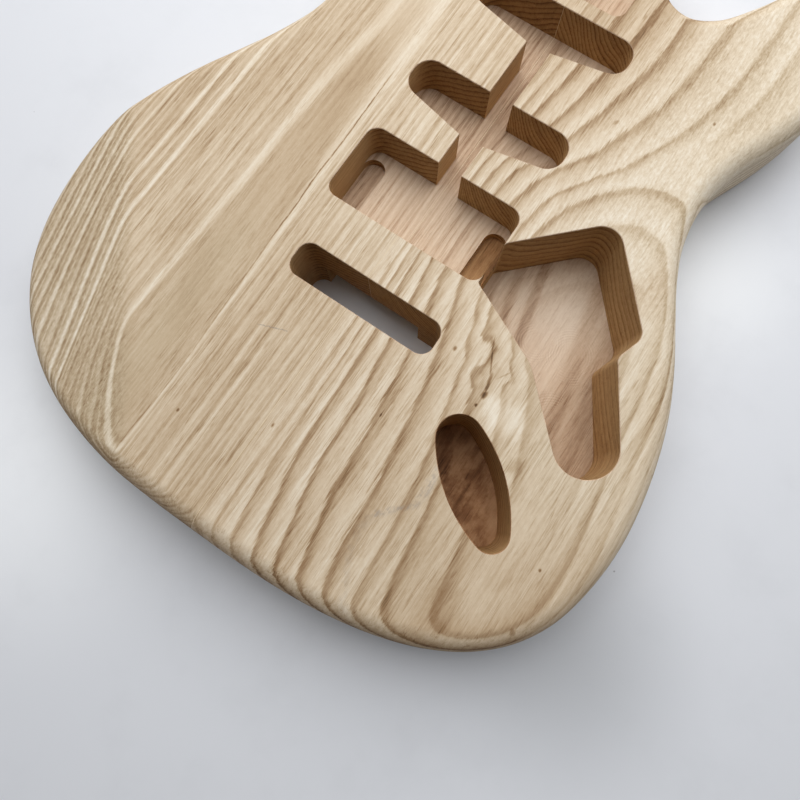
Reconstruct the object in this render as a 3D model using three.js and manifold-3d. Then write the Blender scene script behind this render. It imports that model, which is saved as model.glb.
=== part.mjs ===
// Body of a solid electric guitar with two cutaways, glued up from two ash planks. Millimetres, +Z up.
// The body lies on its back: the front faces +Z, the neck end points to +Y, the treble side is +X,
// and x = 0 is both the centre line and the glued joint between the planks.
import * as THREE from 'three';
import { mergeVertices } from 'three/addons/utils/BufferGeometryUtils.js';
import Module from 'manifold-3d';

const wasm = await Module();
wasm.setup();

// Blank
const bodyLength = 460;
const bodyWidth = 328.5;
const bodyThickness = 45;
const glueThickness = 0.2;
const overrun = 5;

// Edges: their radii as shares of the width, and between which shares of half the width they come up from
// the nearly square edge beside the neck
const frontEdgeShare = 0.0335;
const backEdgeShare = 0.0274;
const edgeFadeShares = [0.2, 0.44];
const heelEdgeRadius = 1.5;

// Forearm contour on the front: a straight bevel beyond a slanted line, eased in over its first part
const forearmBlend = 9;
const forearmDrop = 16;
const forearmWidth = 62;

// Belly contour on the back: a hollow of one radius that runs out towards the middle
const bellyRadius = 165;
const bellyDepth = 17;
const bellyReach = 62;

// Tremolo slot, right through, and the spring cavity behind it, cut from the back
const tremoloSlotLength = 80.25;
const tremoloSlotWidth = 18;
const tremoloSlotRadius = 6.5;
const tremoloOffset = 4.1;
const springCavityWidth = 58;
const springCavityDepth = 19;
const springCavityRadius = 8;

// Bridge pickup cavity with two deeper slots for the pickup's legs
const pickupOffset = 0.25;
const bridgeCavityLength = 88.5;
const bridgeCavityWidth = 42.75;
const bridgeCavityRadius = 7;
const legSlotWidth = 12.75;
const legSlotLength = 37.3;
const legSlotRadius = 6.2;
const legSlotDepth = 24.5;

// Single-coil cavities, each with a shallow V on the bridge side, and the wire channel that joins them
const pickupCavityDepth = 20;
const coilCavityLength = 89.5;
const coilCavityWidth = 20;
const coilCavityVee = 9.25;
const coilCavityRadius = 9.6;
const channelWidth = 13.25;
const channelOffset = 1.4;

// Neck pocket: its wall on each side, and how far its bolt holes stand from its sides and its ends
const neckPocketWall = 4.85;
const neckPocketDepth = 16;
const neckPocketRadius = 6;
const neckBoltRadius = 2.4;
const neckBoltFromSides = 8.95;
const neckBoltFromEnds = 12.6;

// Control cavity, and the wood left between it and the widest place of the body's side
const controlCavityLength = 121;
const controlCavityDepth = 36;
const controlWall = 18.1;

// Jack cavity: an egg shape of four arcs, two long ones and one round each end
const jackCavityWidth = 27.5;
const jackSideRadius = 70;
const jackLowerRadius = 8.2;
const jackUpperRadius = 10.8;
const jackCavityDepth = 36;
const jackAngle = THREE.MathUtils.degToRad(-39);

// Steps of the curves
const outlineSteps = 3;
const edgeSteps = 5;
const cornerSteps = 6;
const bevelSteps = 12;
const scoopSteps = 24;
const holeSteps = 16;
const ovalSteps = 10;

// Places of the cavities, as shares of half the width and of the length
const tremoloSlotShare = 0.2875;
const springCavityEndShare = 0.52446;
const bridgeCavityShare = 0.36304;
const middleCavityShare = 0.55815;
const neckCavityShare = 0.69565;
const neckPocketShare = 0.71522;
const controlCavityShare = 0.24;
const jackShares = [0.5587, 0.1960];
const heelShares = [0.2, 0.8805];

// Places that follow from the shares
const halfWidth = bodyWidth / 2;
const tremoloSlotFromButt = tremoloSlotShare * bodyLength;
const bridgeCavityFromButt = bridgeCavityShare * bodyLength;
const neckPocketFromButt = neckPocketShare * bodyLength;
const heelFromButt = heelShares[1] * bodyLength;
const controlCavityFromCentre = pickupOffset + bridgeCavityLength / 2;

// Outline, anticlockwise from the butt: across as a share of half the width, along as a share of the length
const outlineShares = [
  [0.000, 0.0000], [0.140, 0.0003], [0.280, 0.0026], [0.425, 0.0086], [0.562, 0.0190], [0.690, 0.0350],
  [0.800, 0.0573], [0.888, 0.0865], [0.951, 0.1235], [0.987, 0.1700], [1.000, 0.2210], [0.990, 0.2700],
  [0.964, 0.3200], [0.925, 0.3660], [0.872, 0.4090], [0.811, 0.4500], [0.756, 0.4880], [0.718, 0.5240],
  [0.701, 0.5620], [0.706, 0.5980], [0.734, 0.6350], [0.775, 0.6700], [0.816, 0.7060], [0.851, 0.7450],
  [0.872, 0.7870], [0.868, 0.8300], [0.836, 0.8720], [0.775, 0.9040], [0.695, 0.9110], [0.620, 0.8940],
  [0.555, 0.8610], [0.492, 0.8240], [0.418, 0.7890], [0.335, 0.7690], [0.262, 0.7720], [0.214, 0.7960],
  [0.200, 0.8330], [0.197, 0.8650], [0.183, 0.8785], [0.150, 0.8805], [0.075, 0.8805], [0.000, 0.8805],
  [-0.075, 0.8805], [-0.150, 0.8805], [-0.186, 0.8785], [-0.203, 0.8680], [-0.222, 0.8560], [-0.262, 0.8480],
  [-0.322, 0.8500], [-0.395, 0.8700], [-0.472, 0.9040], [-0.552, 0.9440], [-0.640, 0.9800], [-0.738, 1.0000],
  [-0.832, 0.9900], [-0.893, 0.9500], [-0.913, 0.8970], [-0.898, 0.8380], [-0.854, 0.7820], [-0.795, 0.7310],
  [-0.733, 0.6830], [-0.685, 0.6370], [-0.667, 0.5930], [-0.681, 0.5480], [-0.727, 0.5030], [-0.790, 0.4590],
  [-0.858, 0.4140], [-0.916, 0.3680], [-0.962, 0.3200], [-0.990, 0.2710], [-1.000, 0.2210], [-0.987, 0.1700],
  [-0.944, 0.1247], [-0.878, 0.0900], [-0.793, 0.0610], [-0.687, 0.0368], [-0.562, 0.0194], [-0.425, 0.0086],
  [-0.280, 0.0026], [-0.140, 0.0003],
];

// Middle of the belly contour at the bass waist, as shares of half the width and of the length
const bellyShares = [-0.682, 0.6150];

// Ends of the line where the forearm contour starts, as shares of half the width and of the length
const forearmLineShares = [[-0.905, 0.3330], [-0.245, 0.0225]];

// Corners of the control cavity, as shares of its width and length from its lowest corner
const controlShares = [
  [0.000, 0.674], [0.390, 1.000], [0.765, 0.644], [0.715, 0.521], [1.000, 0.135], [0.790, 0.000],
  [0.408, 0.315], [0.000, 0.478],
];

// How much of its shorter side each of these corners is rounded over
const controlRoundShares = [0.053, 0.190, 0.259, 0.151, 0.499, 0.478, 0.073, 0.040];

const materials = {
  bassAsh: new THREE.MeshStandardMaterial({ color: 0xcbb695, roughness: 0.72, metalness: 0 }),
  trebleAsh: new THREE.MeshStandardMaterial({ color: 0xd8c6a6, roughness: 0.72, metalness: 0 }),
  glue: new THREE.MeshStandardMaterial({ color: 0xe3d3ae, roughness: 0.5, metalness: 0 }),
};

// Turns a closed geometry into a solid that can be joined and cut
function solidOf(geometry) {
  const bare = geometry.index ? geometry.toNonIndexed() : geometry.clone();
  bare.deleteAttribute('normal');
  bare.deleteAttribute('uv');
  const merged = mergeVertices(bare, overrun * 1e-5);
  return new wasm.Manifold(new wasm.Mesh({
    numProp: 3,
    vertProperties: Float32Array.from(merged.attributes.position.array),
    triVerts: Uint32Array.from(merged.index.array),
  }));
}

// Turns a solid back into a geometry
function geometryOf(solid) {
  const mesh = solid.getMesh();
  const geometry = new THREE.BufferGeometry();
  geometry.setAttribute('position', new THREE.BufferAttribute(mesh.vertProperties, mesh.numProp));
  geometry.setIndex(new THREE.BufferAttribute(mesh.triVerts, 1));
  return geometry;
}

// Points of a closed outline with rounded corners, from sharp corners and a radius for each
function roundedPoints(corners, radii) {
  const points = [];
  corners.forEach((corner, i) => {
    const back = corners[(i + corners.length - 1) % corners.length].clone().sub(corner).normalize();
    const ahead = corners[(i + 1) % corners.length].clone().sub(corner).normalize();
    const half = Math.acos(THREE.MathUtils.clamp(back.dot(ahead), -1, 1)) / 2;
    const middle = back.clone().add(ahead).normalize();
    const centre = corner.clone().addScaledVector(middle, radii[i] / Math.sin(half));
    const start = corner.clone().addScaledVector(back, radii[i] / Math.tan(half)).sub(centre);
    const end = corner.clone().addScaledVector(ahead, radii[i] / Math.tan(half)).sub(centre);
    const turn = Math.atan2(start.cross(end), start.dot(end));
    for (let step = 0; step <= cornerSteps; step += 1) {
      const arm = start.clone().rotateAround(new THREE.Vector2(), (turn * step) / cornerSteps);
      points.push(arm.add(centre));
    }
  });
  return points;
}

// Radii that round each corner over a share of the shorter of its two sides
function radiiFrom(corners, roundShares) {
  return corners.map((corner, i) => {
    const back = corners[(i + corners.length - 1) % corners.length].clone().sub(corner);
    const ahead = corners[(i + 1) % corners.length].clone().sub(corner);
    const half = Math.acos(back.dot(ahead) / (back.length() * ahead.length())) / 2;
    return roundShares[i] * Math.min(back.length(), ahead.length()) * Math.tan(half);
  });
}

// Rounded rectangle between two corners
function rectanglePoints(x0, y0, x1, y1, radius) {
  const corners = [
    new THREE.Vector2(x0, y0), new THREE.Vector2(x1, y0), new THREE.Vector2(x1, y1), new THREE.Vector2(x0, y1),
  ];
  return roundedPoints(corners, corners.map(() => radius));
}

// Straight-sided cutter with the given outline, from z0 up to z1
function prism(points, z0, z1) {
  const geometry = new THREE.ExtrudeGeometry(new THREE.Shape(points), { depth: z1 - z0, bevelEnabled: false });
  return solidOf(geometry.translate(0, 0, z0));
}

// Cutter for a cavity of the front, of the given depth
function frontCavity(points, depth) {
  return prism(points, bodyThickness - depth, bodyThickness + overrun);
}

// Place on the plan from shares of half the width and of the length
function planPoint([across, along]) {
  return new THREE.Vector2(across * halfWidth, along * bodyLength);
}

// Forearm line: where it starts, its direction, and the direction in which the bevel falls
const forearmStart = planPoint(forearmLineShares[0]);
const forearmAlong = planPoint(forearmLineShares[1]).sub(forearmStart).normalize();
const forearmAcross = new THREE.Vector2(forearmAlong.y, -forearmAlong.x);
const forearmSlope = forearmDrop / (Math.hypot(forearmWidth, forearmBlend) - forearmBlend);

// How far the bevel has fallen at a distance beyond its line
function forearmFall(distance) {
  return distance > 0 ? forearmSlope * (Math.hypot(distance, forearmBlend) - forearmBlend) : 0;
}

// Height of the front at a place on the plan
function frontHeight(place) {
  return bodyThickness - forearmFall(place.clone().sub(forearmStart).dot(forearmAcross));
}

// Place on the edge where the belly hollow is deepest
const bellyPlace = planPoint(bellyShares);

// Height of the back at a place on the plan
function backHeight(place) {
  const across = place.y - bellyPlace.y;
  if (Math.abs(across) >= bellyRadius) return 0;
  const sag = bellyRadius - Math.sqrt(bellyRadius ** 2 - across ** 2);
  return Math.max(0, bellyDepth * (1 - (place.x - bellyPlace.x) / bellyReach) - sag);
}

// Edge radius at a place: nearly square beside the neck pocket, full elsewhere
function edgeRadius(place, full) {
  const besideNeck = place.y > neckPocketFromButt;
  const [from, to] = edgeFadeShares.map((share) => share * halfWidth);
  const fade = besideNeck ? THREE.MathUtils.smoothstep(Math.abs(place.x), from, to) : 1;
  return THREE.MathUtils.lerp(heelEdgeRadius, full, fade);
}

// Ring positions of one edge at an outline point: a quarter round that runs tangent into the surface
function edgeArc(place, outward, full, height, upward) {
  const radius = edgeRadius(place, full);
  const inset = (distance) => place.clone().addScaledVector(outward, -distance);
  const fall = upward * (height(inset(radius)) - height(place)) / radius;
  const tilt = Math.max(0, Math.atan(fall));
  const tangentInset = radius * (1 - Math.sin(tilt));
  const centre = height(inset(tangentInset)) - upward * radius * Math.cos(tilt);
  const arc = [];
  for (let step = 0; step <= edgeSteps; step += 1) {
    const angle = ((Math.PI / 2 - tilt) * step) / edgeSteps;
    const spot = inset(radius * (1 - Math.cos(angle)));
    arc.push(new THREE.Vector3(spot.x, spot.y, centre + upward * radius * Math.sin(angle)));
  }
  const last = arc[edgeSteps];
  arc.push(new THREE.Vector3(last.x, last.y, upward > 0 ? bodyThickness + overrun : -overrun));
  return arc;
}

// Blank with its rounded edges, standing proud of both faces, which the facing cuts then take down
function roundedBlank() {
  const curve = new THREE.CatmullRomCurve3(
    outlineShares.map((share) => {
      const point = planPoint(share);
      return new THREE.Vector3(point.x, point.y, 0);
    }),
    true,
    'centripetal',
  );
  const count = outlineShares.length * outlineSteps;
  const places = Array.from({ length: count }, (_, i) => {
    const point = curve.getPoint(i / count);
    return new THREE.Vector2(point.x, point.y);
  });
  const columns = places.map((place, i) => {
    const along = places[(i + 1) % count].clone().sub(places[(i + count - 1) % count]).normalize();
    const outward = new THREE.Vector2(along.y, -along.x);
    const back = edgeArc(place, outward, backEdgeShare * bodyWidth, backHeight, -1).reverse();
    return back.concat(edgeArc(place, outward, frontEdgeShare * bodyWidth, frontHeight, 1));
  });
  const rows = columns[0].length;
  const positions = columns.flat().flatMap((point) => point.toArray());
  const index = [];
  columns.forEach((_, i) => {
    const next = (i + 1) % count;
    for (let row = 0; row + 1 < rows; row += 1) {
      const [a, b] = [i * rows + row, next * rows + row];
      index.push(a, b, b + 1, a, b + 1, a + 1);
    }
  });
  const flat = (row) => columns.map((column) => new THREE.Vector2(column[row].x, column[row].y));
  THREE.ShapeUtils.triangulateShape(flat(0), []).forEach(([a, b, c]) => {
    index.push(a * rows, c * rows, b * rows);
  });
  THREE.ShapeUtils.triangulateShape(flat(rows - 1), []).forEach(([a, b, c]) => {
    index.push(a * rows + rows - 1, b * rows + rows - 1, c * rows + rows - 1);
  });
  const geometry = new THREE.BufferGeometry();
  geometry.setAttribute('position', new THREE.Float32BufferAttribute(positions, 3));
  geometry.setIndex(index);
  return solidOf(geometry);
}

// Cutter above the front: flat up to the forearm line, then following the bevel
function frontFacing() {
  const reach = bodyLength;
  const profile = [new THREE.Vector2(-reach, bodyThickness), new THREE.Vector2(0, bodyThickness)];
  for (let step = 1; step <= bevelSteps; step += 1) {
    const distance = 2 * forearmWidth * (step / bevelSteps) ** 1.6;
    profile.push(new THREE.Vector2(distance, bodyThickness - forearmFall(distance)));
  }
  const far = profile[profile.length - 1].x;
  profile.push(new THREE.Vector2(far, bodyThickness + 2 * overrun));
  profile.push(new THREE.Vector2(-reach, bodyThickness + 2 * overrun));
  const geometry = new THREE.ExtrudeGeometry(new THREE.Shape(profile), { depth: 2 * reach, bevelEnabled: false });
  geometry.translate(0, 0, -reach);
  const across = new THREE.Vector3(forearmAcross.x, forearmAcross.y, 0);
  const up = new THREE.Vector3(0, 0, 1);
  const frame = new THREE.Matrix4().makeBasis(across, up, across.clone().cross(up));
  frame.setPosition(forearmStart.x, forearmStart.y, 0);
  return solidOf(geometry.applyMatrix4(frame));
}

// Cutter below the back: a flat layer and the belly hollow, a round profile drawn along a slope
function backFacing() {
  const reach = bodyLength;
  const layer = new THREE.BoxGeometry(2 * reach, 3 * reach, 2 * overrun).translate(0, 0, -overrun);
  const halfArc = Math.asin(Math.min(1, bodyLength / 4 / bellyRadius));
  const profile = [];
  for (let step = 0; step <= scoopSteps; step += 1) {
    const angle = halfArc * ((2 * step) / scoopSteps - 1);
    profile.push(new THREE.Vector2(bellyRadius * Math.sin(angle), bellyRadius * (Math.cos(angle) - 1)));
  }
  profile.push(new THREE.Vector2(profile[scoopSteps].x, -bellyRadius));
  profile.push(new THREE.Vector2(profile[0].x, -bellyRadius));
  const scoop = new THREE.ExtrudeGeometry(new THREE.Shape(profile), { depth: reach, bevelEnabled: false });
  scoop.translate(0, 0, -reach);
  const slope = bellyDepth / bellyReach;
  const drawn = new THREE.Matrix4().set(
    0, 0, 1, bellyReach + bellyPlace.x,
    1, 0, 0, bellyPlace.y,
    0, 1, -slope, 0,
    0, 0, 0, 1,
  );
  return solidOf(layer).add(solidOf(scoop.applyMatrix4(drawn)));
}

// Tremolo slot and spring cavity
function tremoloCut() {
  const x0 = tremoloOffset - tremoloSlotLength / 2;
  const y0 = tremoloSlotFromButt - tremoloSlotWidth / 2;
  const slot = rectanglePoints(x0, y0, x0 + tremoloSlotLength, y0 + tremoloSlotWidth, tremoloSlotRadius);
  const side = springCavityWidth / 2;
  const spring = rectanglePoints(
    pickupOffset - side,
    tremoloSlotFromButt,
    pickupOffset + side,
    springCavityEndShare * bodyLength,
    springCavityRadius,
  );
  return prism(slot, -overrun, bodyThickness + overrun).add(prism(spring, -overrun, springCavityDepth));
}

// Bridge pickup cavity with its leg slots
function bridgePickupCut() {
  const half = bridgeCavityLength / 2;
  const [x0, x1] = [pickupOffset - half, pickupOffset + half];
  const y0 = bridgeCavityFromButt;
  const main = rectanglePoints(x0, y0, x1, y0 + bridgeCavityWidth, bridgeCavityRadius);
  const bass = rectanglePoints(x0, y0, x0 + legSlotWidth, y0 + legSlotLength, legSlotRadius);
  const treble = rectanglePoints(x1 - legSlotWidth, y0, x1, y0 + legSlotLength, legSlotRadius);
  return frontCavity(main, pickupCavityDepth)
    .add(frontCavity(bass, legSlotDepth))
    .add(frontCavity(treble, legSlotDepth));
}

// Single-coil cavity whose far side lies at a distance from the butt
function coilPickupCut(far) {
  const half = coilCavityLength / 2;
  const corners = [
    new THREE.Vector2(pickupOffset + half, far),
    new THREE.Vector2(pickupOffset - half, far),
    new THREE.Vector2(pickupOffset - half, far - coilCavityWidth),
    new THREE.Vector2(pickupOffset, far - coilCavityWidth - coilCavityVee),
    new THREE.Vector2(pickupOffset + half, far - coilCavityWidth),
  ];
  const end = coilCavityRadius;
  return frontCavity(roundedPoints(corners, [end, end, end, heelEdgeRadius, end]), pickupCavityDepth);
}

// Wire channel from the bridge pickup cavity to the neck one
function wireChannelCut() {
  const side = channelWidth / 2;
  const points = [
    new THREE.Vector2(channelOffset - side, bridgeCavityFromButt + bridgeCavityWidth / 2),
    new THREE.Vector2(channelOffset + side, bridgeCavityFromButt + bridgeCavityWidth / 2),
    new THREE.Vector2(channelOffset + side, neckCavityShare * bodyLength - coilCavityWidth / 2),
    new THREE.Vector2(channelOffset - side, neckCavityShare * bodyLength - coilCavityWidth / 2),
  ];
  return frontCavity(points, pickupCavityDepth);
}

// Neck pocket, open at the neck end, with its four bolt holes
function neckPocketCut() {
  const side = heelShares[0] * halfWidth - neckPocketWall;
  const pocket = rectanglePoints(-side, neckPocketFromButt, side, bodyLength, neckPocketRadius);
  let cut = frontCavity(pocket, neckPocketDepth);
  for (const across of [neckBoltFromSides - side, side - neckBoltFromSides]) {
    for (const along of [neckPocketFromButt + neckBoltFromEnds, heelFromButt - neckBoltFromEnds]) {
      const hole = new THREE.CylinderGeometry(
        neckBoltRadius,
        neckBoltRadius,
        bodyThickness + 2 * overrun,
        holeSteps,
      );
      hole.rotateX(Math.PI / 2);
      hole.translate(across, along, bodyThickness / 2);
      cut = cut.add(solidOf(hole));
    }
  }
  return cut;
}

// Control cavity
function controlCut() {
  const width = halfWidth - controlWall - controlCavityFromCentre;
  const corners = controlShares.map(([across, along]) => new THREE.Vector2(
    controlCavityFromCentre + across * width,
    controlCavityShare * bodyLength + along * controlCavityLength,
  ));
  return frontCavity(roundedPoints(corners, radiiFrom(corners, controlRoundShares)), controlCavityDepth);
}

// Jack cavity: an arc round each end and two long side arcs that run tangent into them
function jackCut() {
  const width = jackCavityWidth / 2;
  const drop = jackSideRadius - width;
  const [lower, upper] = [jackLowerRadius, jackUpperRadius].map((radius) => {
    const run = Math.sqrt((width - radius) * (2 * jackSideRadius - radius - width));
    return { radius, run, turn: Math.atan2(run, drop) };
  });
  const quarter = Math.PI / 2;
  const arcs = [
    [lower.run, 0, lower.radius, lower.turn - quarter, quarter - lower.turn],
    [0, -drop, jackSideRadius, quarter - lower.turn, quarter + upper.turn],
    [-upper.run, 0, upper.radius, quarter + upper.turn, 3 * quarter - upper.turn],
    [0, drop, jackSideRadius, 3 * quarter - upper.turn, 3 * quarter + lower.turn],
  ];
  const points = [];
  for (const [x, y, radius, from, to] of arcs) {
    for (let step = 0; step < ovalSteps; step += 1) {
      const angle = from + ((to - from) * step) / ovalSteps;
      const point = new THREE.Vector2(x + radius * Math.cos(angle), y + radius * Math.sin(angle));
      points.push(point.rotateAround(new THREE.Vector2(), jackAngle));
    }
  }
  const centre = planPoint(jackShares);
  return frontCavity(points.map((point) => point.add(centre)), jackCavityDepth);
}

// Slice of the finished body between two places across and two along
function slice(body, x0, x1, y0, y1) {
  const corners = [
    new THREE.Vector2(x0, y0), new THREE.Vector2(x1, y0), new THREE.Vector2(x1, y1), new THREE.Vector2(x0, y1),
  ];
  return body.intersect(prism(corners, -overrun, bodyThickness + overrun));
}

const cuts = [
  frontFacing(),
  backFacing(),
  tremoloCut(),
  bridgePickupCut(),
  coilPickupCut(middleCavityShare * bodyLength),
  coilPickupCut(neckCavityShare * bodyLength),
  wireChannelCut(),
  neckPocketCut(),
  controlCut(),
  jackCut(),
];
const body = cuts.reduce((solid, cut) => solid.subtract(cut), roundedBlank());

const side = bodyWidth;
const film = glueThickness / 2;
const [low, high] = [-overrun, bodyLength + overrun];
const pieces = [
  ['bass_side_plank', slice(body, -side, -film, low, high), materials.bassAsh],
  ['treble_side_plank', slice(body, film, side, low, high), materials.trebleAsh],
  ['butt_end_glue_line', slice(body, -film, film, low, tremoloSlotFromButt), materials.glue],
  ['neck_end_glue_line', slice(body, -film, film, tremoloSlotFromButt, high), materials.glue],
];

// The origin moves from the butt to the middle of the length
const guitarBody = new THREE.Group();
guitarBody.name = 'guitar_body';
for (const [name, solid, material] of pieces) {
  const geometry = geometryOf(solid);
  geometry.translate(0, -bodyLength / 2, 0);
  const mesh = new THREE.Mesh(geometry, material);
  mesh.name = name;
  guitarBody.add(mesh);
}

export default guitarBody;
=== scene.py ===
# Bare ash body of an electric guitar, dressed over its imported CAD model.
# The plan is drawn in millimetres: x across from the glued joint, y along from the butt end, z up from the back.
# Meshes are made in metres in the frame of the CAD, whose origin lies halfway along the body.
import math

import bmesh
import bpy
import numpy as np
from mathutils import Euler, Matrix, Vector


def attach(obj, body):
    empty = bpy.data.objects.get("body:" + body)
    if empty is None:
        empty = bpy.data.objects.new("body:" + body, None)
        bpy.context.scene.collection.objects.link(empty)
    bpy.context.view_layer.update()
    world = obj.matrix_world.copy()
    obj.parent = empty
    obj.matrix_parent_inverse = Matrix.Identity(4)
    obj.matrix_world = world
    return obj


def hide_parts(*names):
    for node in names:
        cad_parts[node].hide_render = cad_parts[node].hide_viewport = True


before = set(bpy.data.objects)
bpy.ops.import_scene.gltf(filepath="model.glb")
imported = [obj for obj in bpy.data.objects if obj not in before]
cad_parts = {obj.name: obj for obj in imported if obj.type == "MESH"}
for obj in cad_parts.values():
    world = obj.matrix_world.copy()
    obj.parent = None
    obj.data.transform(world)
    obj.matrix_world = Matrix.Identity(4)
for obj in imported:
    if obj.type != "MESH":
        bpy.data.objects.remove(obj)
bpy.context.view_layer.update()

MM = 0.001

# Blank
BODY_LENGTH = 460
BODY_WIDTH = 328.5
BODY_THICKNESS = 45
HALF_WIDTH = BODY_WIDTH / 2
GLUE_THICKNESS = 0.2
OVERRUN = 5

# Edges: radii as shares of the width, and where they come up from the nearly square edge beside the neck
FRONT_EDGE_RADIUS = 0.0335 * BODY_WIDTH
BACK_EDGE_RADIUS = 0.0274 * BODY_WIDTH
EDGE_FADE = (0.2 * HALF_WIDTH, 0.44 * HALF_WIDTH)
HEEL_EDGE_RADIUS = 1.5

# Forearm contour on the front and belly contour on the back
FOREARM_BLEND = 9
FOREARM_DROP = 16
FOREARM_WIDTH = 62
FOREARM_LINE_SHARES = ((-0.905, 0.3330), (-0.245, 0.0225))
BELLY_RADIUS = 165
BELLY_DEPTH = 17
BELLY_REACH = 62
BELLY_SHARES = (-0.682, 0.6150)

# Tremolo slot and the spring cavity on the back
TREMOLO_SLOT_LENGTH = 80.25
TREMOLO_SLOT_WIDTH = 18
TREMOLO_SLOT_RADIUS = 6.5
TREMOLO_OFFSET = 4.1
TREMOLO_FROM_BUTT = 0.2875 * BODY_LENGTH
SPRING_CAVITY_WIDTH = 58
SPRING_CAVITY_DEPTH = 19
SPRING_CAVITY_RADIUS = 8
SPRING_CAVITY_END = 0.52446 * BODY_LENGTH

# Bridge pickup cavity with its leg slots
PICKUP_OFFSET = 0.25
BRIDGE_CAVITY_LENGTH = 88.5
BRIDGE_CAVITY_WIDTH = 42.75
BRIDGE_CAVITY_RADIUS = 7
BRIDGE_FROM_BUTT = 0.36304 * BODY_LENGTH
LEG_SLOT_WIDTH = 12.75
LEG_SLOT_LENGTH = 37.3
LEG_SLOT_RADIUS = 6.2
LEG_SLOT_DEPTH = 24.5

# Single-coil cavities and the wire channel
PICKUP_DEPTH = 20
COIL_LENGTH = 89.5
COIL_WIDTH = 20
COIL_VEE = 9.25
COIL_RADIUS = 9.6
COIL_VEE_RADIUS = 1.5
MIDDLE_COIL_FAR = 0.55815 * BODY_LENGTH
NECK_COIL_FAR = 0.69565 * BODY_LENGTH
CHANNEL_WIDTH = 13.25
CHANNEL_OFFSET = 1.4

# Neck pocket and its four screw holes
NECK_POCKET_HALF = 0.2 * HALF_WIDTH - 4.85
NECK_POCKET_DEPTH = 16
NECK_POCKET_RADIUS = 6
NECK_POCKET_FROM_BUTT = 0.71522 * BODY_LENGTH
HEEL_FROM_BUTT = 0.8805 * BODY_LENGTH
SCREW_HOLE_RADIUS = 2.4
SCREW_FROM_SIDES = 8.95
SCREW_FROM_ENDS = 12.6

# Control cavity
CONTROL_WALL = 18.1
CONTROL_LENGTH = 121
CONTROL_DEPTH = 36
CONTROL_FROM_BUTT = 0.24 * BODY_LENGTH
CONTROL_SHARES = (
    (0.000, 0.674), (0.390, 1.000), (0.765, 0.644), (0.715, 0.521), (1.000, 0.135), (0.790, 0.000),
    (0.408, 0.315), (0.000, 0.478),
)
CONTROL_ROUND_SHARES = (0.053, 0.190, 0.259, 0.151, 0.499, 0.478, 0.073, 0.040)

# Jack cavity
JACK_WIDTH = 27.5
JACK_SIDE_RADIUS = 70
JACK_LOWER_RADIUS = 8.2
JACK_UPPER_RADIUS = 10.8
JACK_DEPTH = 36
JACK_ANGLE = math.radians(-39)
JACK_SHARES = (0.5587, 0.1960)

# How finely the curves are cut, and how far the mouth of a routed cavity is eased
OUTLINE_STEPS = 10
EDGE_STEPS = 12
CORNER_STEPS = 14
OVAL_STEPS = 28
BEVEL_STEPS = 40
SCOOP_STEPS = 90
HOLE_STEPS = 40
MOUTH_EASE = 0.3
BEVEL_CROWDING = 1.6
SHARP_ANGLE = math.radians(32)

# Distances in metres within which points are taken for one
DOUBLED_DISTANCE = 0.2e-6
WELD_DISTANCE = 0.5e-6

# Outline, anticlockwise from the butt: across as a share of half the width, along as a share of the length
OUTLINE_SHARES = (
    (0.000, 0.0000), (0.140, 0.0003), (0.280, 0.0026), (0.425, 0.0086), (0.562, 0.0190), (0.690, 0.0350),
    (0.800, 0.0573), (0.888, 0.0865), (0.951, 0.1235), (0.987, 0.1700), (1.000, 0.2210), (0.990, 0.2700),
    (0.964, 0.3200), (0.925, 0.3660), (0.872, 0.4090), (0.811, 0.4500), (0.756, 0.4880), (0.718, 0.5240),
    (0.701, 0.5620), (0.706, 0.5980), (0.734, 0.6350), (0.775, 0.6700), (0.816, 0.7060), (0.851, 0.7450),
    (0.872, 0.7870), (0.868, 0.8300), (0.836, 0.8720), (0.775, 0.9040), (0.695, 0.9110), (0.620, 0.8940),
    (0.555, 0.8610), (0.492, 0.8240), (0.418, 0.7890), (0.335, 0.7690), (0.262, 0.7720), (0.214, 0.7960),
    (0.200, 0.8330), (0.197, 0.8650), (0.183, 0.8785), (0.150, 0.8805), (0.075, 0.8805), (0.000, 0.8805),
    (-0.075, 0.8805), (-0.150, 0.8805), (-0.186, 0.8785), (-0.203, 0.8680), (-0.222, 0.8560), (-0.262, 0.8480),
    (-0.322, 0.8500), (-0.395, 0.8700), (-0.472, 0.9040), (-0.552, 0.9440), (-0.640, 0.9800), (-0.738, 1.0000),
    (-0.832, 0.9900), (-0.893, 0.9500), (-0.913, 0.8970), (-0.898, 0.8380), (-0.854, 0.7820), (-0.795, 0.7310),
    (-0.733, 0.6830), (-0.685, 0.6370), (-0.667, 0.5930), (-0.681, 0.5480), (-0.727, 0.5030), (-0.790, 0.4590),
    (-0.858, 0.4140), (-0.916, 0.3680), (-0.962, 0.3200), (-0.990, 0.2710), (-1.000, 0.2210), (-0.987, 0.1700),
    (-0.944, 0.1247), (-0.878, 0.0900), (-0.793, 0.0610), (-0.687, 0.0368), (-0.562, 0.0194), (-0.425, 0.0086),
    (-0.280, 0.0026), (-0.140, 0.0003),
)


# Meshes

def new_piece(name, points, faces):
    """Mesh object at the origin, from points on the plan in millimetres."""
    mesh = bpy.data.meshes.new(name)
    placed = [(x * MM, (y - BODY_LENGTH / 2) * MM, z * MM) for x, y, z in points]
    mesh.from_pydata(placed, [], faces)
    mesh.update()
    piece = bpy.data.objects.new(name, mesh)
    bpy.context.scene.collection.objects.link(piece)
    return piece


def close_up(piece):
    """Merges doubled points and turns every face outwards."""
    shell = bmesh.new()
    shell.from_mesh(piece.data)
    bmesh.ops.remove_doubles(shell, verts=shell.verts, dist=DOUBLED_DISTANCE)
    bmesh.ops.recalc_face_normals(shell, faces=shell.faces)
    shell.to_mesh(piece.data)
    shell.free()
    return piece


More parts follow.
